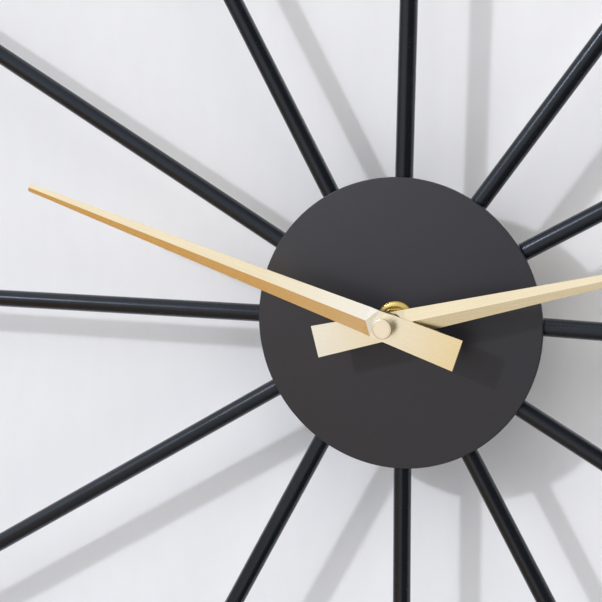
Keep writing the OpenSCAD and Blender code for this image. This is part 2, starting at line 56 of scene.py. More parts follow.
def link_in(tree, sock, value):
    """Puts a number, a colour or another node's output into an input."""
    if isinstance(value, bpy.types.NodeSocket):
        tree.links.new(value, sock)
    elif isinstance(value, (tuple, list)) and len(value) == 3 and sock.type == "RGBA":
        sock.default_value = (*value, 1)
    else:
        sock.default_value = value


def add(tree, kind, inputs=None, **props):
    n = tree.nodes.new("ShaderNode" + kind)
    for k, v in props.items():
        setattr(n, k, v)
    for k, v in (inputs or {}).items():
        link_in(tree, n.inputs[k], v)
    return n


def maths(tree, op, a, b):
    return add(tree, "Math", {0: a, 1: b}, operation=op).outputs[0]


def blend_colour(tree, fac, a, b, mode="MIX"):
    n = add(tree, "Mix", {"Factor": fac}, data_type="RGBA", blend_type=mode)
    link_in(tree, n.inputs[6], a)
    link_in(tree, n.inputs[7], b)
    return n.outputs[2]


def span(tree, value, lo, hi, to_lo, to_hi):
    return add(tree, "MapRange", {"Value": value, "From Min": lo, "From Max": hi,
                                  "To Min": to_lo, "To Max": to_hi}).outputs[0]


def swing(tree, value, to_lo, to_hi):
    """Maps the range that most of a noise's values lie in onto another."""
    return span(tree, value, 0.3, 0.7, to_lo, to_hi)


def smooth_span(tree, value, lo, hi, to_lo=0.0, to_hi=1.0):
    """A span that eases in and out at its ends."""
    ends = {"From Min": lo, "From Max": hi, "To Min": to_lo, "To Max": to_hi}
    return add(tree, "MapRange", {"Value": value, **ends}, interpolation_type="SMOOTHSTEP").outputs[0]


def scaled(tree, colour, factor):
    """A colour times a factor that varies over the surface."""
    grey = add(tree, "CombineColor", {0: factor, 1: factor, 2: factor}).outputs[0]
    return blend_colour(tree, 1.0, colour, grey, "MULTIPLY")


def part_of(tree, vector, axis):
    """One coordinate of a vector: 0, 1 or 2."""
    return add(tree, "SeparateXYZ", {0: vector}).outputs[axis]


def dot(tree, vector, fixed):
    return add(tree, "VectorMath", {0: vector, 1: fixed}, operation="DOT_PRODUCT").outputs["Value"]


def millimetres(tree, turn=0.0, stretch=(1, 1, 1)):
    """The surface point in millimetres, turned about +Y by an angle and then stretched."""
    point = add(tree, "TexCoord").outputs["Object"]
    turned = add(tree, "VectorRotate", {"Vector": point, "Angle": turn}, rotation_type="Y_AXIS").outputs[0]
    return add(tree, "Mapping", {"Vector": turned, "Scale": [s / MM for s in stretch]}).outputs[0]


def noise(tree, vector, scale, detail=3.0, rough=0.5, distort=0.0):
    return add(tree, "TexNoise", {"Vector": vector, "Scale": scale, "Detail": detail,
                                  "Roughness": rough, "Distortion": distort}).outputs[0]


def bump(tree, height, depth, under=None):
    """A bump whose full height is depth metres, over another one if given."""
    ins = {"Height": height, "Distance": depth, "Strength": 1.0}
    if under is not None:
        ins["Normal"] = under
    return add(tree, "Bump", ins).outputs[0]


def surface(name, build):
    """A material whose principled shader is filled in by build(tree), which returns its inputs."""
    m = bpy.data.materials.new(name)
    m.use_nodes = True
    tree = m.node_tree
    tree.nodes.clear()
    shader = add(tree, "BsdfPrincipled", build(tree))
    out = add(tree, "OutputMaterial")
    tree.links.new(shader.outputs[0], out.inputs[0])
    return m


# ---------------------------------------------------------------- materials

DUST, DUST_SHARE = (0.22, 0.22, 0.23), 0.07


def powder_coat(name, colour, rough, grain, depth, coat=0.0, patch=0.12, spec=0.5, tint=(1, 1, 1)):
    """Baked paint: fine orange peel, broad patches of tone and gloss, and a few specks of dust."""
    def build(t):
        p = millimetres(t)
        peel = noise(t, p, grain, 2.0)
        broad = noise(t, p, 0.035, 3.0)
        fine = noise(t, p, 3.5, 2.0)
        specks = span(t, noise(t, p, 1.3, 0.0), 0.76, 0.80, 0.0, 1.0)
        shade = swing(t, broad, 1 - patch, 1 + patch)
        base = scaled(t, colour, shade)
        base = blend_colour(t, maths(t, "MULTIPLY", specks, DUST_SHARE), base, DUST)
        gloss = maths(t, "ADD", swing(t, broad, rough - 0.04, rough + 0.04), swing(t, fine, -0.03, 0.03))
        return {"Base Color": base, "Roughness": gloss, "Specular IOR Level": spec, "Specular Tint": tint,
                "Coat Weight": coat, "Coat Roughness": 0.25,
                "Normal": bump(t, fine, depth * 0.4, bump(t, peel, depth))}
    return surface(name, build)


def brushed(name, colour, dark, rough, turn=0.0, stretch=(0.03, 1, 6), depth=3e-6, coat=0.0, painted_reflections=()):
    """Satin metal with hairlines along local x once it is turned. A painted reflection is (from mm, to mm,
    colour, share):
    the base colour takes on that colour along local x, painting in reflections that brighten or deepen along
    the hand."""
    def build(t):
        p = millimetres(t, turn, stretch)
        q = millimetres(t)
        lines = noise(t, p, 1.6, 3.0, 0.6)
        hair = noise(t, p, 5.0, 2.0, 0.6)
        broad = noise(t, q, 0.06, 3.0)
        marks = span(t, noise(t, q, 0.9, 4.0, 0.7), 0.66, 0.74, 0.0, 0.25)
        base = blend_colour(t, span(t, lines, 0.35, 0.65, 0.0, 0.35), colour, dark)
        base = blend_colour(t, marks, base, dark)
        along = part_of(t, millimetres(t, turn), 0)
        # paint in the paler and deeper reflections that the hands show along their length
        for start, stop, tint, most in painted_reflections:
            base = blend_colour(t, span(t, along, start, stop, 0.0, most), base, tint)
        gloss = maths(t, "ADD", swing(t, lines, rough - 0.05, rough + 0.05), swing(t, broad, -0.03, 0.03))
        return {"Base Color": base, "Metallic": 1.0, "Roughness": gloss, "Coat Weight": coat,
                "Coat Roughness": 0.3, "Normal": bump(t, hair, depth * 0.6, bump(t, lines, depth))}
    return surface(name, build)


def turned_metal(name, colour, dark, rough, pitch=0.16, depth=2.5e-6):
    """Metal faced on a lathe: fine rings round the hands' axis, pitch millimetres apart."""
    def build(t):
        q = millimetres(t)
        flat = add(t, "Mapping", {"Vector": q, "Scale": (1, 0, 1)}).outputs[0]
        reach = add(t, "VectorMath", {0: flat}, operation="LENGTH").outputs["Value"]
        outwards = add(t, "CombineXYZ", {0: maths(t, "DIVIDE", reach, pitch)}).outputs[0]
        rings = noise(t, outwards, 1.0, 3.0, 0.7)
        wide = noise(t, q, 0.25, 3.0)
        base = blend_colour(t, swing(t, rings, 0.0, 0.4), colour, dark)
        base = blend_colour(t, span(t, wide, 0.45, 0.75, 0.0, 0.3), base, dark)
        gloss = swing(t, rings, rough - 0.06, rough + 0.06)
        return {"Base Color": base, "Metallic": 1.0, "Roughness": gloss, "Normal": bump(t, rings, depth)}
    return surface(name, build)


def moulded(name, colour, rough, grain, depth, milky=0.0, coat=0.0):
    """Moulded plastic or rubber with a spark-eroded texture and faint flow marks; milky lets light in."""
    def build(t):
        p = millimetres(t)
        pits = noise(t, p, grain, 2.0, 0.6)
        drawn = add(t, "Mapping", {"Vector": p, "Scale": (0.05, 0.05, 0.3)}).outputs[0]
        flow = noise(t, drawn, 1.0, 3.0, 0.5, 1.5)
        shade = swing(t, flow, 0.92, 1.08)
        base = scaled(t, colour, shade)
        gloss = maths(t, "ADD", swing(t, pits, rough + 0.05, rough - 0.05), swing(t, flow, -0.04, 0.04))
        return {"Base Color": base, "Roughness": gloss, "Subsurface Weight": milky,
                "Subsurface Radius": (1, 0.9, 0.8), "Subsurface Scale": 0.6 * MM, "Coat Weight": coat,
                "Normal": bump(t, pits, depth)}
    return surface(name, build)


def felt_fibre(name, colour, light):
    """Pressed felt: tangled pale fibres over a darker ground, with a soft sheen."""
    def build(t):
        p = millimetres(t)
        tangle = noise(t, p, 1.4, 6.0, 0.75, 2.5)
        clump = noise(t, p, 0.25, 3.0)
        base = blend_colour(t, span(t, tangle, 0.35, 0.7, 0.0, 1.0), colour, light)
        base = blend_colour(t, swing(t, clump, 0.0, 0.35), base, colour)
        return {"Base Color": base, "Roughness": 0.95, "Sheen Weight": 0.6, "Sheen Roughness": 0.5,
                "Normal": bump(t, tangle, 2.5e-4)}
    return surface(name, build)


def solder_mask(name):
    """Green board lacquer over a faint glass weave, its green and gloss varying at random."""
    def build(t):
        p = millimetres(t)
        threads = [add(t, "TexWave", {"Vector": p, "Scale": 1.1, "Distortion": 0.6},
                       bands_direction=way).outputs[1] for way in ("X", "Z")]
        weave = maths(t, "MULTIPLY", *threads)
        tone = noise(t, p, 0.3, 3.0)
        base = blend_colour(t, swing(t, tone, 0.0, 1.0), (0.012, 0.085, 0.03), (0.02, 0.13, 0.045))
        return {"Base Color": base, "Roughness": swing(t, tone, 0.28, 0.4), "Coat Weight": 0.4,
                "Normal": bump(t, weave, 1.2e-5)}
    return surface(name, build)


# where the copper band and the silver line beside it lie, as shares of the cell's length
BAND_FROM, LINE_FROM, LINE_TO = 0.712, 0.69, 0.70


def printed_sleeve(name, x_from, x_to):
    """Shrink-wrapped cell jacket: a dark body and a copper band towards the positive end, with no print."""
    def build(t):
        p = millimetres(t)
        share = span(t, part_of(t, p, 0), x_from, x_to, 0.0, 1.0)
        drawn = add(t, "Mapping", {"Vector": p, "Scale": (0.6, 0.12, 0.12)}).outputs[0]
        wrinkle = noise(t, drawn, 1.0, 3.0)
        soft = noise(t, p, 0.5, 4.0, 0.6)
        edge = 0.002
        band = span(t, share, BAND_FROM, BAND_FROM + 2 * edge, 0.0, 1.0)
        line = maths(t, "MULTIPLY", span(t, share, LINE_FROM, LINE_FROM + edge, 0.0, 1.0),
                     span(t, share, LINE_TO, LINE_TO + edge, 1.0, 0.0))
        body = blend_colour(t, swing(t, soft, 0.0, 1.0), (0.018, 0.03, 0.05), (0.03, 0.045, 0.07))
        cap = blend_colour(t, swing(t, soft, 0.0, 1.0), (0.62, 0.29, 0.13), (0.52, 0.23, 0.1))
        base = blend_colour(t, band, body, cap)
        base = blend_colour(t, line, base, (0.75, 0.76, 0.78))
        return {"Base Color": base, "Metallic": maths(t, "MULTIPLY", band, 0.75), "Roughness": 0.3,
                "Coat Weight": 0.6, "Coat Roughness": 0.12, "Normal": bump(t, wrinkle, 6e-5)}
    return surface(name, build)


# where the hands point, in degrees clockwise from 12
HOUR_AT, MINUTE_AT = 75.0, 287.6
# a quarter turn less the hand's angle lays the hand along local x
HOUR_TURN, MINUTE_TURN = math.radians(90 - HOUR_AT), math.radians(90 - MINUTE_AT)
CHAMPAGNE, CHAMPAGNE_DARK = (0.95, 0.83, 0.57), (0.87, 0.71, 0.42)
# painted reflections on the hands: a pale tone where the hands mirror more light, a deeper gold where they
# mirror less
PAINTED_PALE_REFLECTION, PAINTED_DEEP_REFLECTION = (0.98, 0.93, 0.80), (0.92, 0.71, 0.33)
GOLD, GOLD_DARK = (0.93, 0.74, 0.34), (0.72, 0.50, 0.17)

# the finishes, by a short name: base colour, then for metals a darker one that streaks it; depths in metres
M = {
    "disc": powder_coat("disc_powder_coat", (0.0120, 0.0115, 0.0165), rough=0.46, grain=1.2, depth=5e-6,
                        patch=0.06, spec=0.62),
    "ray": powder_coat("ray_powder_coat", (0.0058, 0.0060, 0.0076), rough=0.25, grain=0.9, depth=4e-6,
                       coat=0.10, patch=0.15, spec=0.44, tint=(0.72, 0.84, 1.0)),
    "plug": moulded("plug_polythene", (0.012, 0.012, 0.013), rough=0.5, grain=5.0, depth=1e-5),
    # the hour hand's tail is painted paler towards its end, a painted reflection
    "hour": brushed("hour_hand_satin", CHAMPAGNE, CHAMPAGNE_DARK, rough=0.28, turn=HOUR_TURN,
                    painted_reflections=((-6, -30, PAINTED_PALE_REFLECTION, 1.0),)),
    # the minute hand is painted paler towards the hub and deeper gold towards its tail's end, both painted
    # reflections
    "minute": brushed("minute_hand_satin", CHAMPAGNE, CHAMPAGNE_DARK, rough=0.28, turn=MINUTE_TURN,
                      painted_reflections=((60, 10, PAINTED_PALE_REFLECTION, 0.85), (8, -34, PAINTED_DEEP_REFLECTION, 0.75))),
    "cap": turned_metal("cap_turned", (0.98, 0.88, 0.68), (0.93, 0.80, 0.58), rough=0.30),
    "brass": turned_metal("brass_turned", GOLD, GOLD_DARK, rough=0.24),
    "washer": turned_metal("washer_turned", (0.72, 0.54, 0.18), (0.48, 0.33, 0.08), rough=0.26),
    "nut": brushed("nut_brass", GOLD, GOLD_DARK, rough=0.18, stretch=(0.4, 1, 4)),
    "felt": felt_fibre("felt_fibre", (0.030, 0.030, 0.032), (0.11, 0.11, 0.115)),
    "rubber": moulded("gasket_rubber", (0.014, 0.014, 0.016), rough=0.75, grain=4.0, depth=2.5e-5),
    "case": moulded("case_abs", (0.020, 0.020, 0.022), rough=0.50, grain=6.0, depth=2.2e-5),
    "knob": moulded("knob_abs", (0.060, 0.060, 0.063), rough=0.42, grain=4.0, depth=1e-5),
    "white": moulded("plate_acetal", (0.72, 0.69, 0.61), rough=0.42, grain=4.0, depth=8e-6, milky=0.1),
    "gear": moulded("gear_acetal", (0.80, 0.78, 0.71), rough=0.36, grain=5.0, depth=5e-6, milky=0.12),
    "steel": brushed("screw_zinc", (0.62, 0.63, 0.66), (0.42, 0.43, 0.46), rough=0.3, stretch=(0.6, 1, 5)),
    "lamination": brushed("motor_steel", (0.45, 0.45, 0.47), (0.30, 0.30, 0.32), rough=0.38,
                          stretch=(0.1, 1, 5)),
    "copper": brushed("enamelled_copper", (0.76, 0.33, 0.15), (0.50, 0.17, 0.06), rough=0.26,
                      stretch=(2, 0.2, 0.2), coat=0.5),
    "can": brushed("cell_steel", (0.66, 0.66, 0.66), (0.50, 0.50, 0.50), rough=0.24, stretch=(1, 1, 1)),
    "wrap": printed_sleeve("cell_wrap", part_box("aa_battery")[0].x / MM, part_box("aa_battery")[1].x / MM),
    "board": solder_mask("solder_mask"),
    "track": brushed("tinned_track", (0.70, 0.62, 0.42), (0.45, 0.38, 0.24), rough=0.3, stretch=(1, 1, 1)),
    "solder": brushed("solder", (0.70, 0.71, 0.72), (0.48, 0.49, 0.50), rough=0.22, stretch=(1, 1, 1),
                      depth=2e-5),
    "resin": moulded("potting_resin", (0.006, 0.006, 0.007), rough=0.16, grain=0.8, depth=4e-5, coat=0.5),
    "spring": brushed("nickel_spring", (0.68, 0.67, 0.64), (0.47, 0.46, 0.44), rough=0.26,
                      stretch=(2, 1, 0.1)),
    "magnet": brushed("sintered_magnet", (0.20, 0.20, 0.21), (0.12, 0.12, 0.13), rough=0.42,
                      stretch=(1, 1, 1), depth=1e-5),
}


def paint(obj, key):
    obj.data.materials.clear()
    obj.data.materials.append(M[key])
    return obj


# ---------------------------------------------------------------- mesh helpers

def made(name, verts, faces, key, body, sharp):
    """A new piece from lists of points and faces, on a body. Edges sharper than the angle stay crisp."""
    me = bpy.data.meshes.new(name)
    me.from_pydata([tuple(v) for v in verts], [], faces)
    bm = bmesh.new()
    bm.from_mesh(me)
    bmesh.ops.remove_doubles(bm, verts=bm.verts, dist=1e-7)
    bmesh.ops.recalc_face_normals(bm, faces=bm.faces)
    for e in bm.edges:
        e.smooth = not (len(e.link_faces) == 2 and e.calc_face_angle(0.0) > math.radians(sharp))
    for f in bm.faces:
        f.smooth = True
    bm.to_mesh(me)
    bm.free()
    me.validate()
    obj = bpy.data.objects.new(name, me)
    bpy.context.scene.collection.objects.link(obj)
    paint(obj, key)
    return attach(obj, body)


class Shape:
    """Collects points and faces, so that one piece can hold many solids."""

    def __init__(self):
        self.verts, self.faces = [], []

    def loft(self, rings, closed=True):
        """Joins rings of equal length, in order. Closed joins the last to the first; open ends are capped."""
        start, n = len(self.verts), len(rings[0])
        for r in rings:
            self.verts.extend(r)
        count = len(rings)
        for i in range(count if closed else count - 1):
            a, b = start + i * n, start + ((i + 1) % count) * n
            for k in range(n):
                self.faces.append((a + k, a + (k + 1) % n, b + (k + 1) % n, b + k))
        if not closed:
            self.faces.append(tuple(range(start + n - 1, start - 1, -1)))
            self.faces.append(tuple(range(start + (count - 1) * n, start + count * n)))

    def lathe(self, profile, place, steps):
        """Turns a closed (radius, height) profile round local z, then places it. Radius 0 is a pole."""
        start, n = len(self.verts), len(profile)
        for i in range(steps):
            a = TAU * i / steps
            self.verts.extend(place @ Vector((r * math.cos(a), r * math.sin(a), z)) for r, z in profile)
        for i in range(steps):
            a, b = start + i * n, start + ((i + 1) % steps) * n
            for j in range(n):
                j2 = (j + 1) % n
                if profile[j][0] < 1e-9 and profile[j2][0] < 1e-9:
                    continue
                self.faces.append((a + j, b + j, b + j2, a + j2))

    def tube(self, path, radius, steps):
        """A round wire along a list of points."""
        rings = []
        for i, p in enumerate(path):
            d = (path[min(i + 1, len(path) - 1)] - path[max(i - 1, 0)]).normalized()
            side = d.cross(Vector((0.31, 0.87, 0.38))).normalized()
            up = side.cross(d)
            rings.append([p + radius * (math.cos(TAU * k / steps) * side + math.sin(TAU * k / steps) * up)
                          for k in range(steps)])
        self.loft(rings, closed=False)

    def make(self, name, key, slot_name, body=FRAME_BODY, sharp=40.0):
        return made(name, self.verts, self.faces, key, body, sharp=sharp)


def out_of_wall(x=0.0, y=0.0, z=0.0):
    """Local z points out of the wall (towards -Y) from the point x, y, z."""
    return Matrix.Translation((x, y, z)) @ Matrix(((1, 0, 0, 0), (0, 0, -1, 0), (0, 1, 0, 0), (0, 0, 0, 1)))


def along_x(x, y, z):
    """Local z points towards +X from the point x, y, z."""
    return Matrix.Translation((x, y, z)) @ Matrix(((0, 0, 1, 0), (0, 1, 0, 0), (-1, 0, 0, 0), (0, 0, 0, 1)))


def box_mm(name):
    """The two corners of a CAD node's box, in millimetres."""
    return [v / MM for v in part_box(name)]


def mm_profile(points):
    return [(r * MM, h * MM) for r, h in points]


def arc(cx, cy, radius, start, stop, parts=6):
    """Points of an arc from one angle in degrees to another, in the unit of its centre and radius."""
    angles = [math.radians(start + (stop - start) * k / parts) for k in range(parts + 1)]
    return [(cx + radius * math.cos(a), cy + radius * math.sin(a)) for a in angles]


# ---------------------------------------------------------------- materials of the CAD nodes that stay

KEEP = {
    "hour_hand": "hour", "minute_hand": "minute", "hex_nut": "nut", "threaded_bushing": "brass",
    "hub_ring": "ray", "hanger_strap": "ray", "movement_gasket": "rubber",
    "movement_case": "case", "rear_cover": "case", "cover_screws": "steel", "gear_bridge": "white",
    "middle_plate": "white", "stator": "lamination", "coil_core": "lamination", "coil_bobbin": "white",
    "circuit_board": "board", "quartz_crystal": "steel", "driver_chip": "resin", "positive_contact": "spring",
    "negative_contact": "spring", "rotor_magnet": "magnet", "rotor_pinion": "gear",
    "intermediate_wheel": "gear", "seconds_wheel": "gear", "third_wheel": "gear", "centre_wheel": "gear",
    "minute_arbor": "nut", "minute_wheel": "gear", "setting_knob": "knob", "hour_wheel": "gear",
}
KEEP.update({f"ray_{i:02d}": "ray" for i in range(1, 13)})
for node_name, key in KEEP.items():
    paint(nodes[node_name], key)


# ---------------------------------------------------------------- disc

lo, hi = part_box("face_disc")
disc_r, disc_mid_z = (hi.x - lo.x) / 2, (lo.z + hi.z) / 2
disc_h = hi.y - lo.y
RIM = 0.45 * MM
BORE_R = 4.2 * MM
DISC_STEPS = 192


def level_ring(r, y, z_mid):
    """A circle of points at a depth y, its centre z_mid above the hands' axis."""
    turns = [TAU * k / DISC_STEPS for k in range(DISC_STEPS)]
    return [Vector((r * math.sin(a), y, z_mid + r * math.cos(a))) for a in turns]


rim = arc(disc_r - RIM, RIM, RIM, -90, 0, 5)
# the disc's middle sits a little below the hands' axis, so the bore is off its centre
rings = [level_ring(r, hi.y - h, disc_mid_z) for r, h in rim + [(r, disc_h - h) for r, h in reversed(rim)]]
rings += [level_ring(BORE_R, y, 0.0) for y in (lo.y, hi.y)]
shape = Shape()
shape.loft(rings)
disc = shape.make("face_disc_plate", "disc", "disc_paint")
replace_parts(disc, "face_disc")


# ---------------------------------------------------------------- tube plugs, welds round the tubes

TUBE_R = 4.0 * MM
# the plug, in millimetres: its stem inside the tube, then a rounded head with a dimple
PLUG_R, PLUG_TOP, STEM_R, STEM_END, HEAD_ROUND, DIMPLE = 4.0, 2.0, 3.0, -6.0, 1.3, 0.12
plug_profile = mm_profile(
    [(0, STEM_END), (STEM_R - 0.5, STEM_END), (STEM_R, STEM_END + 0.8), (STEM_R, 0), (PLUG_R - 0.1, 0),
     (PLUG_R, 0.1)]
    + arc(PLUG_R - HEAD_ROUND, PLUG_TOP - HEAD_ROUND, HEAD_ROUND, 0, 90)
    + [(0.7, PLUG_TOP), (0.55, PLUG_TOP - DIMPLE), (0, PLUG_TOP - DIMPLE)])
HOOP_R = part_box("hub_ring")[1].x
BEAD_STEPS, BEAD_SIDES, BEAD_SIZE, BEAD_LIFT = 72, 8, 1.25 * MM, 0.1 * MM
plugs, beads = Shape(), Shape()
rng = random.Random(12)
for i in range(1, 13):
    verts = [v.co for v in nodes[f"ray_{i:02d}"].data.vertices]
    far = max(v.length for v in verts)
    outer = [v for v in verts if v.length > far - 12 * MM]
    inner = [v for v in verts if v.xz.length < HOOP_R + 2.5 * MM]
    tip = sum(outer, Vector()) / len(outer)
    root = sum(inner, Vector()) / len(inner)
    along = (tip - root).normalized()
    end_face = [v for v in outer if (v - tip).dot(along) > -0.1 * MM]
    tip = sum(end_face, Vector()) / len(end_face)
    place = Matrix.Translation(tip) @ along.to_track_quat("Z", "Y").to_matrix().to_4x4()
    plugs.lathe(plug_profile, place, steps=40)
    # weld bead: a lumpy fillet round the tube where it meets the hoop
    phase = rng.random() * TAU
    rings = []
    side = along.cross(Vector((0, 1, 0))).normalized()
    up = Vector((0, 1, 0))
    for k in range(BEAD_STEPS):
        a = TAU * k / BEAD_STEPS
        radial = math.cos(a) * side + math.sin(a) * up
        foot = root + radial * TUBE_R
        # slide the point along the tube until it lies on the hoop
        outwards = foot.xz.dot(along.xz)
        gap = foot.xz.length_squared - HOOP_R ** 2
        foot = foot + along * (-outwards + math.sqrt(max(outwards * outwards - gap, 0.0)))
        swell = BEAD_SIZE * (1 + 0.22 * math.sin(9 * a + phase) + 0.10 * math.sin(23 * a + 2 * phase))
        loop = []
        for j in range(BEAD_SIDES):
            g = TAU * j / BEAD_SIDES
            loop.append(foot + along * (swell * 0.75 * math.cos(g) + BEAD_LIFT)
                        + radial * (swell * 0.62 * math.sin(g) + BEAD_LIFT))
        rings.append(loop)
    beads.loft(rings)
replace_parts(plugs.make("ray_end_plugs", "plug", "cap_plastic"), "ray_end_caps")
beads.make("weld_beads", "ray", "ray_paint", sharp=80)


# ---------------------------------------------------------------- cap, washer

# the cap, in millimetres: a rounded edge, a fine groove just inside it, a flat face and a blind bore
lo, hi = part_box("cap_nut")
cap_r, cap_h = (hi.x - lo.x) / 2 / MM, (hi.y - lo.y) / MM
CAP_BORE, CAP_BORE_END, CAP_ROUND, GROOVE = 1.5, 3.0, 0.35, 0.05
profile = ([(CAP_BORE, 0), (cap_r - 0.15, 0), (cap_r, 0.15)]
           + arc(cap_r - CAP_ROUND, cap_h - CAP_ROUND, CAP_ROUND, 0, 90)
           + [(cap_r - 0.55, cap_h), (cap_r - 0.62, cap_h - GROOVE), (cap_r - 0.72, cap_h - GROOVE),
              (cap_r - 0.79, cap_h), (cap_r - 0.95, cap_h), (1.2, cap_h), (0.4, cap_h), (0, cap_h),
              (0, CAP_BORE_END), (CAP_BORE, CAP_BORE_END)])
shape = Shape()
shape.lathe(mm_profile(profile), out_of_wall(0, hi.y, 0), steps=96)
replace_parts(shape.make("cap_nut_turned", "cap", "hand_brass", "minute_hand_group", sharp=20), "cap_nut")

# the washer: a flat seat for the nut, then a shallow slope down to a rolled lip
lo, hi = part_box("brass_washer")
washer_r, washer_h = (hi.x - lo.x) / 2 / MM, (hi.y - lo.y) / MM
WASHER_BORE, SEAT_R, LIP, LIP_MID = 4.2, 6.7, 0.25, 0.45
profile = ([(WASHER_BORE, 0), (washer_r - 0.15, 0), (washer_r, 0.12)]
           + arc(washer_r - LIP, LIP_MID, LIP, -10, 120)
           + [(washer_r - 0.55, 0.58), (SEAT_R + 0.5, washer_h - 0.06), (SEAT_R, washer_h),
              (SEAT_R - 0.6, washer_h), (WASHER_BORE + 0.15, washer_h), (WASHER_BORE, washer_h - 0.15)])
shape = Shape()
shape.lathe(mm_profile(profile), out_of_wall(0, hi.y, 0), steps=128)
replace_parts(shape.make("washer_turned", "washer", "brass", sharp=25), "brass_washer")


# ---------------------------------------------------------------- welds behind the disc, felt

def bead(path, radius, seed, steps=8, swell=0.22):
    """A lumpy weld bead along a list of points, as rings for Shape.loft."""
    phase = random.Random(seed).random() * TAU
    ripple, grit = 0.62 * MM, 0.17 * MM
    rings, run = [], 0.0
    for i, p in enumerate(path):
        ahead, behind = path[min(i + 1, len(path) - 1)], path[max(i - 1, 0)]
        d = (ahead - behind).normalized()
        side = d.cross(Vector((0, 1, 0))).normalized()
        up = side.cross(d)
        run += (p - path[i - 1]).length if i else 0.0
        taper = min(1.0, 0.35 + 8 * min(i, len(path) - 1 - i) / len(path))
        r = radius * taper * (1 + swell * math.sin(run / ripple + phase) * 0.5 + 0.05 * math.sin(run / grit))
        rings.append([p + r * (math.cos(TAU * k / steps) * side + math.sin(TAU * k / steps) * up)
                      for k in range(steps)])
    return rings


def on_hoop(angle, r, y):
    """A point at an angle from +X towards +Z."""
    return Vector((r * math.cos(angle), y, r * math.sin(angle)))


strap_lo, strap_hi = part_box("hanger_strap")
hoop_lo, hoop_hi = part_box("hub_ring")
HOOP_WALL, WELD_STEPS = 3 * MM, 60
HOOP_IN = hoop_hi.x - HOOP_WALL
welds = Shape()
a0, a1 = math.asin(strap_lo.z / HOOP_IN), math.asin(strap_hi.z / HOOP_IN)
for y in (strap_lo.y, strap_hi.y):
    for mirror in (0, 1):
        path = []
        for k in range(WELD_STEPS + 1):
            a = a0 + (a1 - a0) * (0.04 + 0.92 * k / WELD_STEPS)
            path.append(on_hoop(math.pi - a if mirror else a, HOOP_IN - 0.25 * MM, y))
        welds.loft(bead(path, 1.0 * MM, 3 + mirror), closed=False)
welds.make("strap_welds", "ray", "ray_paint", sharp=80)

TACKS, TACK_ANGLE, TACK_INSET = 6, 0.20, 0.2 * MM
tacks = Shape()
for k in range(TACKS):
    a = TAU * (k + 0.35) / TACKS
    path = [on_hoop(a + TACK_ANGLE * (j / WELD_STEPS - 0.5), HOOP_IN - TACK_INSET, hoop_lo.y + TACK_INSET)
            for j in range(WELD_STEPS + 1)]
    tacks.loft(bead(path, 1.2 * MM, 20 + k, swell=0.16), closed=False)
tacks.make("disc_tack_welds", "ray", "ray_paint", sharp=80)

felt_lo, felt_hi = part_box("wall_felt")
FELT_W, FELT_STEPS, FIBRES = 4 * MM, 480, 700
FELT_OUT, FELT_IN = felt_hi.x, felt_hi.x - FELT_W
FELT_T = felt_hi.y - felt_lo.y
FLUFF = 0.22 * MM
ROUND = 0.5 * MM
outline = []
for cx, cy, start in ((FELT_OUT - ROUND, ROUND, -90), (FELT_OUT - ROUND, FELT_T - ROUND, 0),
                      (FELT_IN + ROUND, FELT_T - ROUND, 90), (FELT_IN + ROUND, ROUND, 180)):
    outline += arc(cx, cy, ROUND, start, start + 90, 3)


def fine_outline(points, most):
    """The outline with its long sides cut into short ones."""
    out = []
    for i, (r, z) in enumerate(points):
        r2, z2 = points[(i + 1) % len(points)]
        parts = max(1, math.ceil(math.hypot(r2 - r, z2 - z) / most))
        out += [(r + (r2 - r) * j / parts, z + (z2 - z) * j / parts) for j in range(parts)]
    return out


outline = fine_outline(outline, 0.5 * MM)
mid_r, mid_h = (FELT_OUT + FELT_IN) / 2, FELT_T / 2
felt = Shape()
rings = []
for i in range(FELT_STEPS):
    a = TAU * i / FELT_STEPS
    loop = []
    for r, h in outline:
        p = Vector((r * math.cos(a), -h, r * math.sin(a)))
        inward = Vector((mid_r * math.cos(a), -mid_h, mid_r * math.sin(a))) - p
        lump = field.noise(p / (0.9 * MM)) * 0.6 + field.noise(p / (3.1 * MM)) * 0.4
        loop.append(p + inward.normalized() * FLUFF * (0.5 + 0.5 * lump))
    rings.append(loop)
felt.loft(rings)
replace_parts(felt.make("felt_pad", "felt", "felt", sharp=80), "wall_felt")

fibres = Shape()
rng = random.Random(31)
for i in range(FIBRES):
    a = rng.random() * TAU
    outer = rng.random() < 0.55
    r = FELT_OUT - 0.25 * MM if outer else FELT_IN + 0.25 * MM
    p = Vector((r * math.cos(a), -rng.uniform(0.3, 1.6) * MM, r * math.sin(a)))
    sideways = Vector((-math.sin(a), 0, math.cos(a))) * rng.uniform(-1, 1)
    out = Vector((math.cos(a), 0, math.sin(a))) * (1 if outer else -1)
    d = (out * rng.uniform(0.1, 0.6) + sideways + Vector((0, rng.uniform(-0.4, 0.1), 0))).normalized()
    curl = out * rng.uniform(-0.5, 0.5) + Vector((0, rng.uniform(-0.3, 0.1), 0))
    length = rng.uniform(0.5, 1.5) * MM
    path = [p + d * length * u + curl * length * u * u * 0.5 for u in (0, 0.33, 0.66, 1)]
    path = [Vector((q.x, min(q.y, -0.06 * MM), q.z)) for q in path]
    fibres.tube(path, 0.022 * MM, steps=3)
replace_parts(fibres.make("felt_fibres", "felt", "felt"), "wall_felt")


# ---------------------------------------------------------------- battery

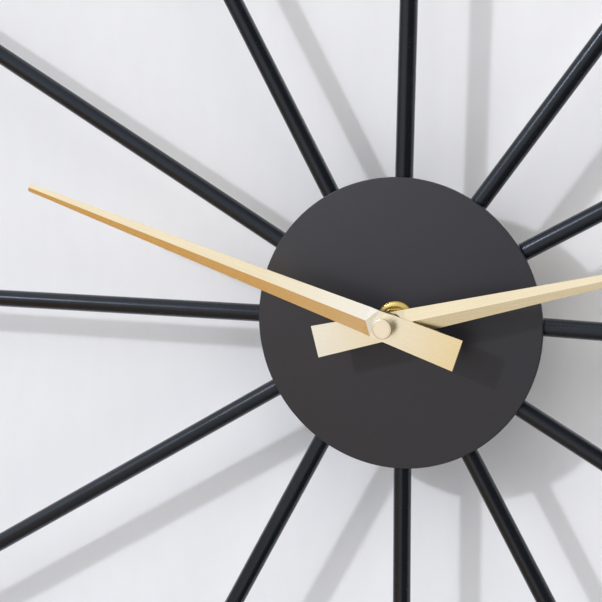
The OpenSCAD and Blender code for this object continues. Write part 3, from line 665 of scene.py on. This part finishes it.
cell_lo, cell_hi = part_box("aa_battery")
cell_mid = (cell_lo + cell_hi) / 2
CELL_R = (cell_hi.z - cell_lo.z) / 2 / MM
CELL_LEN = (cell_hi.x - cell_lo.x) / MM
NUB_LEN = 1.3
CAN_LEN = CELL_LEN - NUB_LEN
cell_at = along_x(cell_lo.x, cell_mid.y, cell_mid.z)
can = Shape()
can.lathe(mm_profile(
    [(0, 0.25), (2.6, 0.25)] + arc(3.4, 0.35, 0.35, 200, 270, 4) + [(5.6, 0.0)]
    + arc(6.5, 0.5, 0.45, 270, 350, 5)
    + [(6.92, CAN_LEN - 0.7)] + arc(6.45, CAN_LEN - 0.55, 0.45, 10, 90, 5)
    + [(5.9, CAN_LEN - 0.5), (5.5, CAN_LEN - 0.9), (4.4, CAN_LEN - 0.9), (3.9, CAN_LEN - 0.55),
       (3.1, CAN_LEN - 0.45)]
    + [(2.75, CAN_LEN - 0.1), (2.75, CELL_LEN - 0.45)] + arc(2.4, CELL_LEN - 0.35, 0.35, 0, 90, 5)
    + [(1.2, CELL_LEN), (0, CELL_LEN - 0.04)]), cell_at, steps=72)
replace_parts(can.make("cell_can", "can", "contact_metal", "battery", sharp=35), "aa_battery")
sleeve = Shape()
sleeve.lathe(mm_profile(
    arc(CELL_R - 0.5, 0.5, 0.5, 270, 360) + [(CELL_R, 1.4), (CELL_R - 0.03, 2.0), (CELL_R, 2.8)]
    + [(CELL_R, CAN_LEN - 2.6), (CELL_R - 0.04, CAN_LEN - 1.9), (CELL_R, CAN_LEN - 1.2)]
    + arc(CELL_R - 0.5, CAN_LEN - 0.5, 0.5, 0, 90)
    + [(6.15, CAN_LEN), (6.1, CAN_LEN - 0.12), (6.6, CAN_LEN - 0.12)]
    + [(6.94, CAN_LEN - 0.5), (6.94, 0.5), (6.6, 0.06), (6.1, 0.06), (6.15, 0.0)]), cell_at, steps=96)
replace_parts(sleeve.make("cell_sleeve", "wrap", "cell_wrap", "battery", sharp=50), "aa_battery")


# ---------------------------------------------------------------- coil, leads, board

wind_lo, wind_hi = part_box("coil_winding")
wind_mid = (wind_lo + wind_hi) / 2
WIND_LEN, WIND_R = (wind_hi.x - wind_lo.x) / MM, (wind_hi.z - wind_lo.z) / 2 / MM
TURNS, IN_R, WIRE = 112, 1.85, 0.07
profile = [(IN_R, 0.0)]
for k in range(TURNS):
    z0, pitch = WIND_LEN * k / TURNS, WIND_LEN / TURNS
    slack = 0.10 * abs(field.noise(Vector((k * 0.13, 0.4, 0.0))))
    crown = WIND_R - 0.10 - slack - 0.25 * (abs(2 * k / TURNS - 1)) ** 6
    profile += [(crown - WIRE, z0 + 0.02 * pitch), (crown - 0.02, z0 + 0.25 * pitch),
                (crown, z0 + 0.5 * pitch), (crown - 0.02, z0 + 0.75 * pitch)]
profile += [(WIND_R - 0.5, WIND_LEN), (IN_R, WIND_LEN)]
coil = Shape()
coil.lathe(mm_profile(profile), along_x(wind_lo.x, wind_mid.y, wind_mid.z), steps=40)
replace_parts(coil.make("coil_wire", "copper", "copper", sharp=70), "coil_winding")


def smooth_path(points, parts):
    """A Catmull-Rom curve through points given in millimetres."""
    pts = [Vector(p) * MM for p in points]
    pts = [pts[0]] + pts + [pts[-1]]
    out = []
    for i in range(1, len(pts) - 2):
        p0, p1, p2, p3 = pts[i - 1:i + 3]
        for k in range(parts):
            u = k / parts
            out.append(0.5 * ((2 * p1) + (p2 - p0) * u + (2 * p0 - 5 * p1 + 4 * p2 - p3) * u * u
                              + (3 * p1 - p0 - 3 * p2 + p3) * u ** 3))
    return out + [pts[-2]]


board_lo, board_hi = box_mm("circuit_board")
bobbin_lo = box_mm("coil_bobbin")[0]
BOARD_FACE = board_lo.y
# the two coil wires run down the side of the case to their pads on the board
PAD_1_X, PAD_2_X, PAD_Z, LEAD_R = -24.6, -22.2, -6.2, 0.06 * MM
leads = Shape()
for k, (pad_x, run_x) in enumerate(((PAD_1_X, -26.3), (PAD_2_X, -25.7))):
    start_z = bobbin_lo.z + 0.9 + 0.5 * k
    y = -22.6 - 0.3 * k
    route = [(bobbin_lo.x + 0.1, y, start_z + 0.4), (bobbin_lo.x - 1.2, y, start_z - 0.4),
             (-19.5, y, 19.2 - 0.6 * k), (-23.6, y, 17.6 - 0.6 * k), (run_x, y, 14.0), (run_x, y, 8.0),
             (run_x, y + 0.1, 1.0), (run_x + 0.2, y + 0.6, -3.0), (pad_x - 0.3, y + 1.6, -4.9),
             (pad_x, BOARD_FACE - 0.12, PAD_Z)]
    leads.tube(smooth_path(route, parts=10), LEAD_R, steps=6)
leads.make("coil_leads", "copper", "copper")


def blob(shape, x, z, radius, height):
    """A dome of solder on the board, sunk into it by a hair."""
    sunk = 0.02
    dome = [(0, -sunk), (radius, -sunk), (radius, sunk), (radius * 0.8, height * 0.45),
            (radius * 0.5, height * 0.8), (0, height)]
    shape.lathe(mm_profile(dome), out_of_wall(x * MM, BOARD_FACE * MM, z * MM), steps=20)


chip_lo, chip_hi = box_mm("driver_chip")
xtal_lo, xtal_hi = box_mm("quartz_crystal")
xtal_y, xtal_z = (xtal_lo.y + xtal_hi.y) / 2, (xtal_lo.z + xtal_hi.z) / 2
LEG_REACH, LEG_APART, LEG_R = 1.5, 0.6, 0.14 * MM
PADS = [(PAD_1_X, PAD_Z), (PAD_2_X, PAD_Z), (xtal_lo.x - LEG_REACH, xtal_z + LEG_APART),
        (xtal_lo.x - LEG_REACH, xtal_z - LEG_APART), (board_lo.x + 1.1, -9.2), (board_hi.x - 1.1, -9.2)]
joints = Shape()
for x, z in PADS[:4]:
    blob(joints, x, z, radius=0.55, height=0.38)
for x, z in PADS[4:]:
    blob(joints, x, z, radius=0.9, height=0.6)
joints.make("solder_joints", "solder", "contact_metal", sharp=50)

pins = Shape()
for dz in (LEG_APART, -LEG_APART):
    route = [(xtal_lo.x + 0.05, xtal_y, xtal_z + dz * 0.5), (xtal_lo.x - 0.7, xtal_y, xtal_z + dz * 0.8),
             (xtal_lo.x - LEG_REACH, BOARD_FACE - 0.1, xtal_z + dz)]
    pins.tube(smooth_path(route, parts=6), LEG_R, steps=8)
pins.make("crystal_legs", "can", "contact_metal")

tracks = Shape()
TRACK_W, WIDE_TRACK_W, TRACK_H, PAD_R = 0.5, 0.8, 0.035, 0.95


def track(points, width=TRACK_W):
    """A flat copper run with mitred corners through points (x, z)."""
    pts = [Vector((x, z)) for x, z in points]
    left, right = [], []
    for i, p in enumerate(pts):
        a = (p - pts[i - 1]).normalized() if i else (pts[1] - p).normalized()
        b = (pts[i + 1] - p).normalized() if i < len(pts) - 1 else a
        m = (a + b).normalized()
        n = Vector((-m.y, m.x)) * (width / 2) / max(0.5, m.dot(a))
        left.append(p + n)
        right.append(p - n)
    rings = []
    for p, q in zip(left, right):
        corners = ((p, BOARD_FACE), (p, BOARD_FACE - TRACK_H), (q, BOARD_FACE - TRACK_H), (q, BOARD_FACE))
        rings.append([Vector((at.x, y, at.y)) * MM for at, y in corners])
    tracks.loft(rings, closed=False)


track([PADS[0], (PAD_1_X, -7.8), (-16.2, -7.8), (chip_lo.x + 0.3, -7.8)])
track([PADS[1], (-18.6, -6.2), (-17.4, -6.9), (chip_lo.x + 0.3, -6.9)])
track([PADS[2], (6.0, xtal_z + 0.6), (4.6, xtal_z + 1.6), (-9.0, xtal_z + 1.6), (chip_hi.x - 0.3, -6.9)])
track([PADS[3], (5.0, xtal_z - 0.6), (3.8, xtal_z - 0.1), (-9.6, xtal_z - 0.1), (chip_hi.x - 0.3, -7.9)])
track([PADS[4], (board_lo.x + 2.2, -10.0), (-14.0, -10.3), (-13.0, chip_lo.z + 0.2)], WIDE_TRACK_W)
track([PADS[5], (board_hi.x - 2.4, -10.1), (2.0, -10.3), (-9.4, -10.3), (chip_hi.x - 0.2, -8.9)],
      WIDE_TRACK_W)
for x, z in PADS:
    tracks.lathe(mm_profile([(0, 0), (PAD_R, 0), (PAD_R, TRACK_H), (0, TRACK_H)]),
                 out_of_wall(x * MM, BOARD_FACE * MM, z * MM), steps=24)
tracks.make("board_tracks", "track", "contact_metal")


# ---------------------------------------------------------------- moulded detail on the movement's back

knob_lo, knob_hi = box_mm("setting_knob")
knob_x, knob_z = (knob_lo.x + knob_hi.x) / 2, (knob_lo.z + knob_hi.z) / 2
FACE, RISE, BURIED = box_mm("rear_cover")[1].y, 0.4, 0.3


def towards_wall(x, z):
    """Local z points towards the wall (+Y) from the cover's rear face, in millimetres."""
    return Matrix.Translation(Vector((x, FACE, z)) * MM) @ Matrix(((1, 0, 0, 0), (0, 0, 1, 0), (0, -1, 0, 0),
                                                                  (0, 0, 0, 1)))


def raised(shape, points):
    """A moulded lug on the cover with this outline (x, z), its top edge eased inwards."""
    ease = 0.1
    mid = sum((Vector(p) for p in points), Vector((0, 0))) / len(points)
    rings = []
    for y, inset in ((FACE - BURIED, 0.0), (FACE + RISE - ease, 0.0), (FACE + RISE, ease)):
        ring = []
        for p in points:
            pulled = Vector(p).lerp(mid, inset / max(1e-6, (Vector(p) - mid).length))
            ring.append(Vector((pulled.x, y, pulled.y)) * MM)
        rings.append(ring)
    shape.loft(rings, closed=False)


def bar(shape, x0, z0, x1, z1, width):
    """A raised rib with round ends."""
    a, b = Vector((x0, z0)), Vector((x1, z1))
    turn = math.degrees(math.atan2(b.y - a.y, b.x - a.x))
    raised(shape, arc(b.x, b.y, width / 2, turn - 90, turn + 90, 8)
           + arc(a.x, a.y, width / 2, turn + 90, turn + 270, 8))


def round_knob(r, a):
    """The point (x, z) at a radius and an angle round the setting knob."""
    return knob_x + r * math.cos(a), knob_z + r * math.sin(a)


ribs = Shape()
RING_IN, RING_OUT, EASE = 5.75, 6.55, 0.12
ribs.lathe(mm_profile([(RING_IN, -BURIED), (RING_OUT, -BURIED), (RING_OUT, RISE - EASE),
                       (RING_OUT - EASE, RISE), (RING_IN + EASE, RISE), (RING_IN, RISE - EASE)]),
           towards_wall(knob_x, knob_z), steps=72)
# two curved arrows round the knob
ARM_R, ARM_HALF_W, HEAD_HALF_W, HEAD_ANGLE, ARM_STEPS = 8.05, 0.3, 0.95, 0.24, 24
for flip in (1, -1):
    arm = [math.radians(90 + flip * (18 + 52 * k / ARM_STEPS)) for k in range(ARM_STEPS + 1)]
    outer = [round_knob(ARM_R + ARM_HALF_W, a) for a in arm]
    inner = [round_knob(ARM_R - ARM_HALF_W, a) for a in arm]
    head = [round_knob(ARM_R + HEAD_HALF_W, arm[-1]), round_knob(ARM_R, arm[-1] + flip * HEAD_ANGLE),
            round_knob(ARM_R - HEAD_HALF_W, arm[-1])]
    rings = [[Vector((p[0], FACE - BURIED, p[1])) * MM, Vector((p[0], FACE + RISE, p[1])) * MM,
              Vector((q[0], FACE + RISE, q[1])) * MM, Vector((q[0], FACE - BURIED, q[1])) * MM]
             for p, q in zip(outer, inner)]
    ribs.loft(rings, closed=False)
    ribs.loft([[Vector((x, y, z)) * MM for x, z in head] for y in (FACE - BURIED, FACE + RISE)], closed=False)
# five stiffening ribs, a long one along the top and one over the cell's bay, then the plus and the minus sign
RIB_W, LINE_W = 0.9, 0.8
for k in range(5):
    rib_z = 3.0 + 3.2 * k
    bar(ribs, 4.0, rib_z, 17.0, rib_z, RIB_W)
bar(ribs, -19.0, 25.4, 19.0, 25.4, LINE_W)
bar(ribs, -19.0, -10.6, 19.0, -10.6, LINE_W)
SIGN_X, SIGN_Z, SIGN_ARM = 23.0, -9.0, 1.8
bar(ribs, SIGN_X - SIGN_ARM, SIGN_Z, SIGN_X + SIGN_ARM, SIGN_Z, LINE_W)
bar(ribs, SIGN_X, SIGN_Z - SIGN_ARM, SIGN_X, SIGN_Z + SIGN_ARM, LINE_W)
bar(ribs, -SIGN_X - SIGN_ARM, SIGN_Z, -SIGN_X + SIGN_ARM, SIGN_Z, LINE_W)
ribs.make("cover_ribs", "case", "case_plastic", sharp=25)


# ---------------------------------------------------------------- stage, lights and camera

def one_sided(name, colour, rough, texture):
    """A pale surface that is see-through from behind, so that the clock's back can be looked at."""
    m = bpy.data.materials.new(name)
    m.use_nodes = True
    t = m.node_tree
    t.nodes.clear()
    p = add(t, "TexCoord").outputs["Object"]
    fine = noise(t, p, 260.0, 4.0, 0.6)
    streak = noise(t, add(t, "Mapping", {"Vector": p, "Scale": (1, 1, 0.35)}).outputs[0], 120.0, 3.0, 0.6)
    broad = noise(t, p, 6.0, 3.0)
    shade = maths(t, "MULTIPLY", swing(t, broad, 0.985, 1.015), swing(t, streak, 0.99, 1.01))
    shader = add(t, "BsdfPrincipled", {"Base Color": scaled(t, colour, shade), "Roughness": rough,
                                       "Normal": bump(t, broad, 2e-3, bump(t, fine, texture))})
    clear = add(t, "BsdfTransparent")
    side = add(t, "NewGeometry").outputs["Backfacing"]
    mixed = add(t, "MixShader", {0: side, 1: shader.outputs[0], 2: clear.outputs[0]})
    t.links.new(mixed.outputs[0], add(t, "OutputMaterial").inputs[0])
    return m


def plane(name, corners, material, glossy=True):
    me = bpy.data.meshes.new(name)
    me.from_pydata(corners, [], [(0, 1, 2, 3)])
    me.materials.append(material)
    obj = bpy.data.objects.new(name, me)
    bpy.context.scene.collection.objects.link(obj)
    obj.visible_shadow = False
    obj.visible_glossy = glossy
    return obj


WALL_Y, FLOOR_Z, SPREAD = 0.0004, -0.62, 4.0
wall_paint = one_sided("wall_paint", (0.80, 0.805, 0.815), rough=0.85, texture=4e-5)
floor_paint = one_sided("floor_paint", (0.62, 0.62, 0.62), rough=0.7, texture=2e-5)
plane("wall", [(-SPREAD, WALL_Y, FLOOR_Z), (SPREAD, WALL_Y, FLOOR_Z), (SPREAD, WALL_Y, SPREAD),
               (-SPREAD, WALL_Y, SPREAD)], wall_paint)
plane("floor", [(-SPREAD, -SPREAD, FLOOR_Z), (SPREAD, -SPREAD, FLOOR_Z), (SPREAD, SPREAD, FLOOR_Z),
                (-SPREAD, SPREAD, FLOOR_Z)], floor_paint, glossy=False)


def lamp(name, at, target, size, watts, colour, glossy=True):
    """A round soft lamp, size metres across, aimed at a point."""
    data = bpy.data.lights.new(name, "AREA")
    data.energy = watts
    data.color = colour
    data.shape = "DISK"
    data.size = size
    obj = bpy.data.objects.new(name, data)
    bpy.context.scene.collection.objects.link(obj)
    obj.location = at
    obj.rotation_mode = "QUATERNION"
    obj.rotation_quaternion = (Vector(target) - Vector(at)).to_track_quat("-Z", "Y")
    obj.visible_camera = False
    obj.visible_glossy = glossy
    return obj


def sun(name, towards, angle, strength, colour, glossy=True, diffuse=True):
    """A distant lamp in a direction, this many degrees across."""
    data = bpy.data.lights.new(name, "SUN")
    data.energy, data.color, data.angle = strength, colour, math.radians(angle)
    obj = bpy.data.objects.new(name, data)
    bpy.context.scene.collection.objects.link(obj)
    obj.rotation_mode = "QUATERNION"
    obj.rotation_quaternion = Vector(towards).to_track_quat("Z", "Y")
    obj.visible_camera, obj.visible_glossy, obj.visible_diffuse = False, glossy, diffuse
    return obj


# the main lamp throws each ray's shadow right and down on the wall; the wide one softens the shadow's edges
MIDDLE, WALL_POINT = Vector((0, -0.03, 0)), Vector((0, 0, 0))
key_dir = Vector((-24.4, -30, 17.0)).normalized()
KEY_COLOUR = (0.895, 0.90, 0.965)
sun("key_lamp", key_dir, angle=3.0, strength=1.18, colour=KEY_COLOUR, glossy=False)
sun("wide_lamp", key_dir, angle=24.0, strength=0.51, colour=KEY_COLOUR, glossy=False)
glint = sun("glint_lamp", key_dir, angle=4.0, strength=0.95, colour=(0.95, 0.97, 1.0), diffuse=False)
# the folded hands are left out of the glint, which would burn out the one facet that mirrors it
unlit = bpy.data.collections.new("without_glint")
for name in ("hour_hand", "minute_hand"):
    unlit.objects.link(nodes[name])
for entry in unlit.collection_objects:
    entry.light_linking.link_state = "EXCLUDE"
glint.light_linking.receiver_collection = unlit
lamp("top_fill", (0.20, -0.75, 0.95), MIDDLE, size=1.0, watts=4.5, colour=(1.0, 0.965, 0.91), glossy=False)
lamp("side_fill", (1.2, -0.8, 0.0), MIDDLE, size=1.2, watts=5.0, colour=(1.0, 0.96, 0.91), glossy=False)
lamp("rear_lamp", (0.35, 1.3, 0.45), WALL_POINT, size=0.9, watts=22.0, colour=(1.0, 0.99, 0.97))
lamp("rear_side_lamp", (-0.7, 1.2, -0.1), WALL_POINT, size=0.9, watts=12.0, colour=(0.96, 0.98, 1.0))

# the world is what the bright metal mirrors: dim at the lower left with one golden patch, bright above, and
# dark to the right
DIM, BRIGHT, GOLDEN, COOL = (0.34, 0.32, 0.31), (0.93, 0.92, 0.91), (0.62, 0.37, 0.13), (1.0, 1.02, 1.10)
world = bpy.data.worlds.new("studio")
bpy.context.scene.world = world
world.use_nodes = True
t = world.node_tree
t.nodes.clear()
facing = add(t, "TexCoord").outputs["Generated"]
tone = blend_colour(t, smooth_span(t, dot(t, facing, (0.45, -0.55, 0.70)), -0.40, 0.25), DIM, BRIGHT)
low_left = dot(t, facing, (-0.60, -0.60, -0.53))
tone = blend_colour(t, smooth_span(t, low_left, 0.86, 0.985), tone, GOLDEN)
tone = blend_colour(t, span(t, part_of(t, facing, 2), 0.05, 0.3, 0.0, 1.0), tone, COOL)
tone = scaled(t, tone, smooth_span(t, part_of(t, facing, 0), -0.05, 0.38, 1.0, 0.12))
path = add(t, "LightPath").outputs
on_matt = span(t, path["Is Diffuse Ray"], 0.0, 1.0, 1.0, 0.65)
mirrored = add(t, "Background", {"Color": tone, "Strength": on_matt})
plain = add(t, "Background", {"Color": (0.78, 0.785, 0.80), "Strength": 1.0})
both = add(t, "MixShader", {0: path["Is Camera Ray"], 1: mirrored.outputs[0], 2: plain.outputs[0]})
t.links.new(both.outputs[0], add(t, "OutputWorld").inputs[0])

# the camera, as degrees round from the front, degrees up and a roll, at a distance from a point
VIEW_AZ, VIEW_EL, VIEW_ROLL = math.radians(19.266), math.radians(8.502), math.radians(0.527)
VIEW_FAR, LENS = 0.72416, 96.44
VIEW_AT = Vector((-0.0447, -0.036, 0.00647))
camera = bpy.data.objects.new("camera", bpy.data.cameras.new("camera"))
bpy.context.scene.collection.objects.link(camera)
level = math.cos(VIEW_EL)
back = Vector((math.sin(VIEW_AZ) * level, -math.cos(VIEW_AZ) * level, math.sin(VIEW_EL)))
camera.location = VIEW_AT + back * VIEW_FAR
camera.rotation_mode = "QUATERNION"
camera.rotation_quaternion = back.to_track_quat("Z", "Y") @ Quaternion((0, 0, 1), VIEW_ROLL)
camera.data.lens = LENS
camera.data.sensor_width = 36
camera.data.clip_start = 0.01
bpy.context.scene.camera = camera
bpy.context.scene.view_settings.view_transform = "Standard"
